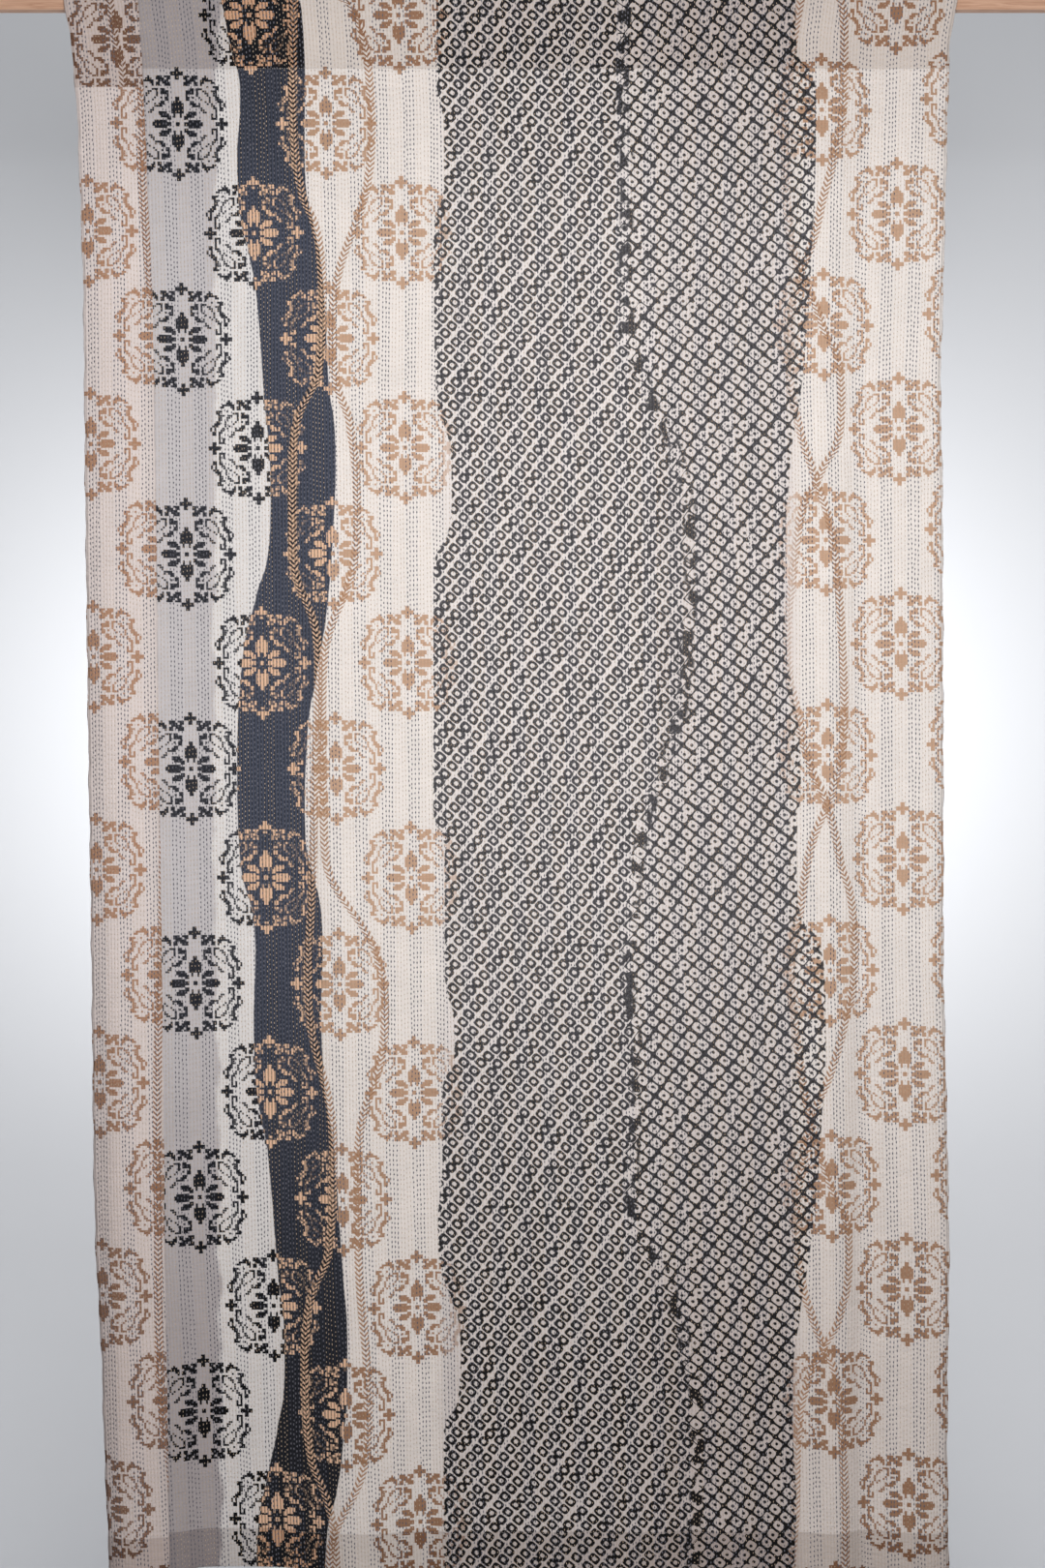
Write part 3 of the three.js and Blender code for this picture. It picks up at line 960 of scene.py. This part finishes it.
# The darkest black also outlines the vines on the band, as print.
BLACK_SHADED_AND_OUTLINE = shade(8, 8, 11)
DOT_DYE = shade(60, 58, 60)
DOT_DYE_SHADED = shade(24, 21, 21)
TAN_DYE = shade(212, 176, 148)
BROWN_DYE = shade(197, 161, 134)
BROWN_DYE_SHADED = shade(158, 120, 94)
VINE_DYE = shade(168, 126, 94)
STRIP_GROUND = shade(223, 211, 206)
STRIP_GROUND_SHADED = shade(176, 162, 156)
STRIP_DYE = shade(174, 128, 96)
STRIP_DYE_SHADED = shade(122, 82, 54)
STRIP_VINE = shade(152, 106, 74)
# A warmer, darker colour, painted over the light grounds as shade near the hem and at the top.
WARM_PAINTED_SHADE = shade(150, 114, 96)
THROUGH = 0.28


def new_material(name):
    material = bpy.data.materials.new(name)
    material.use_nodes = True
    material.node_tree.nodes.clear()
    return material, material.node_tree


def cloth_place_wires(tree, span):
    """The place across and the drop, in millimetres, from the cloth's own UV map."""
    source = make_node(tree, "UVMap", {}, uv_map=UV_NAME)
    parts = make_node(tree, "SeparateXYZ", {0: source.outputs[0]})
    across = Wire(tree, parts.outputs[0]) * (span["width"] / MM) + span["x"] / MM
    drop = Wire(tree, parts.outputs[1]) * (span["length"] / MM) + span["drop"] / MM
    return across, drop


def stitch_rows(tree):
    """How many rows of stitches lie left of a point. It is whole midway between two rows."""
    source = make_node(tree, "Attribute", {}, attribute_name=ROW_NAME)
    return Wire(tree, source.outputs["Fac"])


def furrows(tree):
    """0.36 on a ridge between two rows of stitches and -0.64 down in a row."""
    return (stitch_rows(tree) * math.pi).math("COSINE").size() - 0.64


def yarn_and_shade(tree, across, drop):
    """Faint light and dark threads, along the cloth and across it, and painted shade: darker in the furrows
    of the stitch rows and in small crinkles, lighter on the ridges.
    """
    long_yarn = noise(tree, joined(tree, across / 1.1, drop / 60), 1.0, 1.0)
    cross_yarn = noise(tree, joined(tree, across / 45, drop / 0.9), 1.0, 1.0)
    cloud = noise(tree, joined(tree, across / 60, drop / 60), 1.0, 2.0)
    # The crinkle streaks and the furrow term below are painted shade.
    crinkle_shade = noise(tree, joined(tree, across / 28, drop / 5), 1.0, 1.0)
    fine = long_yarn * 0.12 + cross_yarn * 0.14 + cloud * 0.10
    return fine + crinkle_shade * 0.10 + furrows(tree) * 0.09


def cotton_height(tree, across, drop):
    """Height of the puckered surface, about 0 to 1."""
    pucker = noise(tree, joined(tree, across / 5.5, drop / 3.2), 1.0, 1.0)
    crease = noise(tree, joined(tree, across / 30, drop / 7), 1.0, 2.0)
    return furrows(tree) * 0.4 + pucker + crease * 1.1


def cotton_shader(tree, colour, height, twice, deep):
    """A matt surface with some light coming through, out of a colour socket and a height wire. Less
    comes through where twice is 1, because a second layer lies behind, and less white light passes
    between the yarns where deep is 1, so that the glow fades with the painted shade near the hem and top."""
    bump = make_node(tree, "Bump", {"Strength": 0.8, "Distance": 1.3 * MM, "Height": height})
    surface = make_node(tree, "BsdfPrincipled", {
        "Base Color": colour, "Roughness": 0.88, "Specular IOR Level": 0.2, "Sheen Weight": 0.05,
        "Normal": bump.outputs[0],
    })
    # The white light between the yarns fades with the painted shade near the hem and top.
    between_yarns = paint(tree, colour, (0.9, 0.9, 0.9), (1 - twice) * (1 - deep) * 0.2)
    behind = paint(tree, between_yarns, (0.02, 0.02, 0.02), twice * 0.45)
    glow = make_node(tree, "BsdfTranslucent", {"Color": behind})
    both = make_node(tree, "MixShader", {0: THROUGH, 1: surface.outputs[0], 2: glow.outputs[0]})
    make_node(tree, "OutputMaterial", {0: both.outputs[0]})


def brightened_or_darkened(tree, colour, amount):
    """Lighter or darker versions of a colour socket: amount is 0 for no change."""
    return make_node(tree, "HueSaturation", {"Value": amount + 1, "Color": colour}).outputs[0]


print("share of the light that may come through the cloth:", THROUGH)

# %% Lines and places of the panel's print
BAND_LEFT = [
    (0, -383), (79, -368), (124, -359), (218, -363), (335, -347), (397, -337), (518, -328),
    (673, -319), (783, -337), (897, -359), (1024, -364), (1147, -359), (1248, -340), (1368, -342),
    (1531, -323), (1687, -310), (1802, -301), (1887, -310), (1952, -323), (2071, -339),
]
BAND_RIGHT = [
    (0, -283), (90, -273), (218, -273), (294, -262), (371, -249), (512, -241), (607, -232),
    (695, -235), (783, -241), (893, -257), (995, -271), (1080, -273), (1152, -264), (1248, -249),
    (1345, -251), (1513, -235), (1687, -222), (1792, -216), (1908, -222), (1975, -231), (2071, -246),
]
GREY_ENDS = [(0, -380), (770, -395), (1536, -389), (2071, -385)]
LEFT_ROUNDELS = {"first": -444.8, "phase": 163.8, "highest": 3}
RIGHT_ROUNDELS = {"first": 409.0, "phase": 145.9, "highest": 9}
RIGHT_FROM = 150
LEFT_LEAN = {"across": -430, "lean": 0.0198, "change": -0.000018}
RIGHT_LEAN = 0.009
RIGHT_TILT = 0.0715
# Left side, right side and softness of the field's own ground, and of the thinner print over it.
DOTTED_GROUND = (-90, 375, 14)
THINNER_PRINT = (-90, 378, 8)
# How much more the print covers where the painted shade is full.
SHADE_COVERS_MORE = 0.12
print("points on the band's two sides:", len(BAND_LEFT), "and", len(BAND_RIGHT))

# %% [markdown]
# The panel is painted in layers, from the ground up: the grounds, the roundels, the vines, and the
# dots last. Each layer covers a little unevenly, as worn print does. Near the hem, and half as much at
# the top, the colours are painted darker and warmer and the print covers more: this is painted shade.

# %% Paint the main panel

def painted_shade_at_ends(drop):
    """Painted shade: 1 near the hem, a half at the top, and 0 between, where the colours are painted
    darker.
    """
    return drop.rise(1150, 1950).most((1 - drop.rise(60, 330)) * 0.5)


def panel_print(tree, across, drop, twice):
    """The panel's colours, painted in the order in which a printer would lay them, with painted shade near
    the hem, at the top and where two layers lie together.
    """
    ragged = noise(tree, joined(tree, across / 7, drop / 7), 1.0, 2.0) * 1.6
    band_left = line(tree, drop, BAND_LEFT)
    band_right = line(tree, drop, BAND_RIGHT)
    blotch = noise(tree, joined(tree, across / 24, drop / 40), 1.0, 2.0) * 26
    left_side = (band_left - across + ragged).rise(-0.7, 0.7)
    on_grey = (line(tree, drop, GREY_ENDS) - across + blotch).rise(-4, 4)
    on_band = within(across + ragged, band_left, band_right, 0.7)
    # The amount of painted shade: 1 near the hem, a half at the top.
    deep = painted_shade_at_ends(drop)
    # The charcoal and the black also get painted shade where two layers lie together.
    shade_or_doubled = deep.most(twice)
    colour = paint(tree, CREAM, WHITE, left_side)
    # The darker grey and charcoal here are painted shade.
    colour = paint(tree, colour, paint(tree, GREY, GREY_SHADED, deep), on_grey)
    colour = paint(tree, colour, paint(tree, CHARCOAL, CHARCOAL_SHADED, shade_or_doubled), on_band)
    on_right = across.over(RIGHT_FROM)
    left_lean = (across - LEFT_LEAN["across"]) * LEFT_LEAN["change"] + LEFT_LEAN["lean"]
    motif, leaves = roundels(
        tree, across, drop,
        repeat=PANEL_REPEAT,
        first=mix(LEFT_ROUNDELS["first"], RIGHT_ROUNDELS["first"], on_right),
        phase=mix(LEFT_ROUNDELS["phase"], RIGHT_ROUNDELS["phase"], on_right),
        lean=mix(left_lean, RIGHT_LEAN, on_right),
        tilt=on_right * RIGHT_TILT,
        lowest=0,
        highest=mix(LEFT_ROUNDELS["highest"], RIGHT_ROUNDELS["highest"], on_right),
    )
    # The brown dye darkens with the painted shade.
    dyes = paint(tree, paint(tree, BROWN_DYE, BROWN_DYE_SHADED, deep), TAN_DYE, on_band)
    ground = paint(tree, RINGS_GROUND, SQUARES_GROUND, across.rise(140, 240))
    # The field's ground darkens a little with the painted shade.
    ground = paint(tree, ground, STRIP_GROUND_SHADED, deep * 0.25)
    colour = paint(tree, colour, ground, within(across, *DOTTED_GROUND))
    # Painted shade: the light grounds are darkened and warmed near the hem and at the top, more on the
    # right.
    warm_shade_amount = deep * (across.rise(100, 300) * 0.10 + 0.08) * (1 - on_band)
    colour = paint(tree, colour, WARM_PAINTED_SHADE, warm_shade_amount)
    # The black print darkens with the painted shade.
    dyes = paint(tree, dyes, paint(tree, BLACK_DYE, BLACK_SHADED_AND_OUTLINE, shade_or_doubled), left_side)
    worn = noise(tree, joined(tree, across / 1.6, drop / 1.6), 1.0, 1.0)
    open_print = 1 - within(across, *THINNER_PRINT) * 0.45
    # Near the hem and at the top the print covers more, as painted shade.
    more = deep * SHADE_COVERS_MORE
    motif = motif - leaves * on_band * 0.85
    colour = paint(tree, colour, dyes, motif * (worn * 0.4 + 0.98 + more) * open_print)
    vines, stem = vine(tree, across, drop, PANEL_VINES[0])
    colour = paint(tree, colour, BLACK_SHADED_AND_OUTLINE, stem * on_band * 0.7)
    for points in PANEL_VINES[1:]:
        vines = vines.most(vine(tree, across, drop, points)[0])
    dyes = paint(tree, VINE_DYE, TAN_DYE, on_band)
    colour = paint(tree, colour, dyes, vines * (worn * 0.4 + 0.95) * open_print)
    dye, in_field = field_of_dots(tree, across, drop)
    # The dots' dye darkens with the painted shade.
    dot_dye = paint(tree, DOT_DYE, DOT_DYE_SHADED, deep)
    colour = paint(tree, colour, dot_dye, dye * in_field * (worn * 0.45 + 0.97 + more))
    return colour, on_band.most(dye * in_field)


def double_layer_shade(tree, colour, amount):
    """Painted shade where two layers of cloth lie together: light that passes through both is coloured
    twice, so the colour is multiplied by itself.
    """
    inputs = {0: amount * 0.5, 6: colour, 7: colour}
    return make_node(tree, "Mix", inputs, data_type="RGBA", blend_type="MULTIPLY").outputs[2]


def doubled_part(drop, cut):
    """1 where a second layer lies behind the first: in the pocket, its flap and the hem."""
    seam = cut["seam"] / MM
    hem = (cut["hem"] - HEM_DEPTH) / MM
    return (seam - drop).rise(-1, 1).most((drop - hem).rise(-1, 1))


panel_cotton, tree = new_material("printed_cotton")
across, drop = cloth_place_wires(tree, PANEL_SPAN)
twice = doubled_part(drop, PANEL)
colour, dark = panel_print(tree, across, drop, twice)
# Painted shade in the pocket and the hem, where two layers lie together.
colour = double_layer_shade(tree, colour, twice)
# Painted shade: darker in the furrows of the stitch rows and in crinkles, lighter on the ridges, much
# stronger on the dark band and dots.
colour = brightened_or_darkened(tree, colour, yarn_and_shade(tree, across, drop) + furrows(tree) * dark * 0.9)
cotton_shader(tree, colour, cotton_height(tree, across, drop), twice, painted_shade_at_ends(drop))
panel.data.materials.append(panel_cotton)
print("the panel's print has", len(tree.nodes), "nodes")

# %% [markdown]
# The strip carries the same print, cut from another place. The roundels on its pocket don't meet those
# below the seam, so the two parts are drawn with places of their own and joined at the seam.

# %% The print of the side strip
STRIP_FRONT = {"first": -465.3, "phase": 163.8, "lean": 0.0135}
STRIP_FLAP = {"first": -520.7, "phase": 55, "lean": 0}
strip_cotton, tree = new_material("strip_cotton")
across, drop = cloth_place_wires(tree, STRIP_SPAN)
front = roundels(tree, across, drop, repeat=STRIP_REPEAT, **STRIP_FRONT)[0]
edge_vine = vine(tree, across, drop, VINE_ON_STRIP)[0]
turned = roundels(tree, across, drop, repeat=STRIP_REPEAT, **STRIP_FLAP)[0]
turned = turned.most(vine(tree, across, drop, VINE_ON_FLAP)[0])
on_flap = (STRIP["seam"] / MM - drop).rise(-1, 1)
worn = noise(tree, joined(tree, across / 2.2, drop / 2.2), 1.0, 1.0)
# Across the pocket the flap's print is painted, on the flap and on the pocket's front, where it stands for
# the flap's print showing through the cloth as painted shade.
motif = mix(front, turned, on_flap)
# The strip's dye darkens as painted shade near the hem, at the top and on the pocket, where two layers lie
# together.
dyes = paint(tree, STRIP_DYE, STRIP_DYE_SHADED, painted_shade_at_ends(drop).most(on_flap * 0.8))
colour = paint(tree, STRIP_GROUND, dyes, motif * (worn * 0.5 + 0.9))
colour = paint(tree, colour, STRIP_VINE, edge_vine * (1 - on_flap) * (worn * 0.4 + 0.95))
# Painted shade: the strip is darkened and warmed near the hem and at the top.
colour = paint(tree, colour, WARM_PAINTED_SHADE, painted_shade_at_ends(drop) * 0.15)
twice = doubled_part(drop, STRIP)
# Painted shade in the pocket and the hem, where two layers lie together.
colour = double_layer_shade(tree, colour, twice)
# The yarn's streaks, with painted shade in the furrows and crinkles.
colour = brightened_or_darkened(tree, colour, yarn_and_shade(tree, across, drop))
cotton_shader(tree, colour, cotton_height(tree, across, drop), twice, painted_shade_at_ends(drop))
strip.data.materials.append(strip_cotton)
print("the strip's print has", len(tree.nodes), "nodes")

# %% [markdown]
# ## The threads and the wood
# The threads are soft cotton floss, in a blue-black and in a light tan. No two stitches take the dye
# quite alike, so a slow noise along the cloth varies the colour.
#
# The rail is plain planed wood. Its grain runs along it, so the pattern is stretched in that
# direction, with darker bands, fine pores and a few small knots.

# %% Thread and wood materials
WOOD = shade(190, 150, 124)
WOOD_GRAIN = shade(158, 116, 90)
WOOD_KNOT = shade(120, 78, 52)


def thread_material(name, colour, other):
    material, tree = new_material(name)
    place = make_node(tree, "TexCoord", {})
    amount = noise(tree, place.outputs["Object"], 90.0, 2.0) * 1.6 + 0.5
    floss = make_node(tree, "BsdfPrincipled", {
        "Base Color": paint(tree, colour, other, amount), "Roughness": 0.7, "Sheen Weight": 0.2,
    })
    make_node(tree, "OutputMaterial", {0: floss.outputs[0]})
    return material


dark_thread = thread_material("dark_thread", shade(56, 56, 66), shade(106, 104, 112))
light_thread = thread_material("light_thread", shade(170, 148, 126), shade(190, 168, 146))
seam_thread = thread_material("seam_thread", shade(158, 148, 142), shade(176, 166, 160))
all_threads = ((dark_threads, dark_thread), (light_threads, light_thread), (seams, seam_thread))
for pieces, thread in all_threads:
    for piece in pieces:
        piece.data.materials.append(thread)


def wood_material():
    material, tree = new_material("rail_wood")
    place = make_node(tree, "TexCoord", {})
    parts = make_node(tree, "SeparateXYZ", {0: place.outputs["Object"]})
    x, y, z = (Wire(tree, out) * 1000 for out in parts.outputs)
    waver = noise(tree, joined(tree, x / 120, y / 20, z / 20), 1.0, 2.0)
    grain = noise(tree, joined(tree, x / 90, (y + waver * 9) / 2.2, (z + waver * 9) / 2.2), 1.0, 3.0)
    pores = noise(tree, joined(tree, x / 14, y / 0.5, z / 0.5), 1.0, 1.0)
    bands = grain * 2.4 + 0.5 + pores * 0.5
    colour = paint(tree, WOOD, WOOD_GRAIN, bands.rise(0.2, 1.1))
    knot_place = joined(tree, x / 210 + 0.37, (z + waver * 6) / 24)
    knots = make_node(tree, "TexVoronoi", {"Scale": 1.0, "Vector": knot_place})
    knot = 1 - Wire(tree, knots.outputs["Distance"]).rise(0.02, 0.09)
    colour = paint(tree, colour, WOOD_KNOT, knot * 0.7)
    bump = make_node(tree, "Bump", {"Strength": 0.5, "Distance": 0.25 * MM, "Height": bands - knot * 0.5})
    wood = make_node(tree, "BsdfPrincipled", {
        "Base Color": colour, "Roughness": grain * 0.2 + 0.55, "Normal": bump.outputs[0],
    })
    make_node(tree, "OutputMaterial", {0: wood.outputs[0]})
    return material


rail = frame["nodes"]["wooden_rail"]
rail.data.materials.clear()
rail.data.materials.append(wood_material())
print("materials:", [m.name for m in bpy.data.materials])

# %% [markdown]
# ## Tying the pieces to the model
# Each sheet stands for its solid and rides on the same body. The widths are measured along the folds,
# half-way down, and the lengths along the cloth's way.

BODY = next(iter(frame["bodies"]))


def measured_width(sides, z):
    left, right = sides(z, -z)
    x = np.linspace(left, right, 2000)
    return float(np.hypot(np.diff(x), np.diff(fold_at(x, z))).sum())


for piece, cut, sides in ((panel, PANEL, panel_sides), (strip, STRIP, strip_sides)):
    w = way(cut)
    round(measured_width(sides, -1.0), 3)
    round(w["end"] - w["start"], 3)
for piece in (panel, strip, *threads, *seams):
    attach(piece, BODY)
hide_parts("curtain_panel")
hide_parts("side_strip")

# %% [markdown]
# ## The floor, the light and the camera
# The curtain hangs before a pale studio sweep: one sheet that is floor in front and wall behind. It
# shows only its front face, so that the curtain can also be looked at from behind. A large soft lamp
# in front lights the cloth, strongest at half its height, and a lamp behind the cloth lights the wall.

# %% A pale studio sweep
FLOOR_Z = -2.36
WALL_Y = 1.1
SWEEP_RADIUS = 0.6
SWEEP_FRONT = -5
SWEEP_LENGTH = 9.5
SWEEP_WIDTH = 12


def sweep_point(s):
    """Depth and height along the sweep: floor, then a quarter bend, then wall."""
    bend = SWEEP_RADIUS * math.pi / 2
    flat_end = WALL_Y - SWEEP_RADIUS
    angle = np.clip((s - flat_end) / SWEEP_RADIUS, 0, math.pi / 2)
    y = np.where(s < flat_end, s, flat_end + SWEEP_RADIUS * np.sin(angle))
    z = np.where(s < flat_end, 0, SWEEP_RADIUS * (1 - np.cos(angle)))
    z = np.where(s > flat_end + bend, SWEEP_RADIUS + s - flat_end - bend, z)
    return y, z + FLOOR_Z


bm = bmesh.new()
bmesh.ops.create_grid(bm, x_segments=2, y_segments=60, size=0.5)
for vert in bm.verts:
    y, z = sweep_point(SWEEP_FRONT + (vert.co.y + 0.5) * SWEEP_LENGTH)
    vert.co = (vert.co.x * SWEEP_WIDTH, float(y), float(z))
mesh = bpy.data.meshes.new("studio_sweep")
bm.to_mesh(mesh)
bm.free()
mesh.polygons.foreach_set("use_smooth", [True] * len(mesh.polygons))
sweep = bpy.data.objects.new("studio_sweep", mesh)
bpy.context.collection.objects.link(sweep)
material, tree = new_material("pale_paper")
paper = make_node(tree, "BsdfPrincipled", {"Base Color": (0.52, 0.53, 0.55), "Roughness": 0.9})
clear = make_node(tree, "BsdfTransparent", {})
facing = make_node(tree, "NewGeometry", {}).outputs["Backfacing"]
either = make_node(tree, "MixShader", {0: facing, 1: paper.outputs[0], 2: clear.outputs[0]})
make_node(tree, "OutputMaterial", {0: either.outputs[0]})
mesh.materials.append(material)
print("the sweep reaches from", [round(c, 2) for c in sweep.bound_box[0]])

# %% Lamps and the room's own light
def soft_lamp(name, place, target, size, power):
    lamp = bpy.data.lights.new(name, "AREA")
    lamp.shape = "RECTANGLE"
    lamp.size, lamp.size_y = size
    lamp.energy = power
    holder = bpy.data.objects.new(name, lamp)
    bpy.context.collection.objects.link(holder)
    holder.location = place
    holder.rotation_euler = (Vector(target) - Vector(place)).to_track_quat("-Z", "Y").to_euler()
    holder.visible_camera = False
    print(name, "is a lamp of", power, "watts")


soft_lamp("front_lamp", (0.15, -2.2, -0.55), (0.05, 0, -0.65), size=(1.0, 0.8), power=56)
soft_lamp("wall_lamp", (0, 0.22, -0.93), (0, 1.1, -0.93), size=(1.1, 0.5), power=31)
world = bpy.data.worlds.new("pale_room")
world.use_nodes = True
sky = world.node_tree.nodes["Background"]
sky.inputs["Color"].default_value = (0.93, 0.95, 1.0, 1)
sky.inputs["Strength"].default_value = 0.25
bpy.context.scene.world = world
bpy.context.scene.view_settings.view_transform = "Standard"

# %% The camera, level and straight before the curtain
PHOTO_ROWS = 1620
PHOTO_ROW = 1.28 * MM
PHOTO_HEIGHT = PHOTO_ROWS * PHOTO_ROW
PHOTO_MIDDLE = 14.7 * MM
SENSOR_HEIGHT = 36
CAMERA_AWAY = 3.2
camera_data = bpy.data.cameras.new("camera")
camera = bpy.data.objects.new("camera", camera_data)
bpy.context.collection.objects.link(camera)
camera.location = (PHOTO_MIDDLE, -CAMERA_AWAY, -PHOTO_HEIGHT / 2)
camera.rotation_euler = (math.pi / 2, 0, 0)
camera_data.sensor_fit = "VERTICAL"
camera_data.sensor_height = SENSOR_HEIGHT
camera_data.lens = SENSOR_HEIGHT * CAMERA_AWAY / PHOTO_HEIGHT
bpy.context.scene.camera = camera
print("lens in millimetres:", round(camera_data.lens, 1))
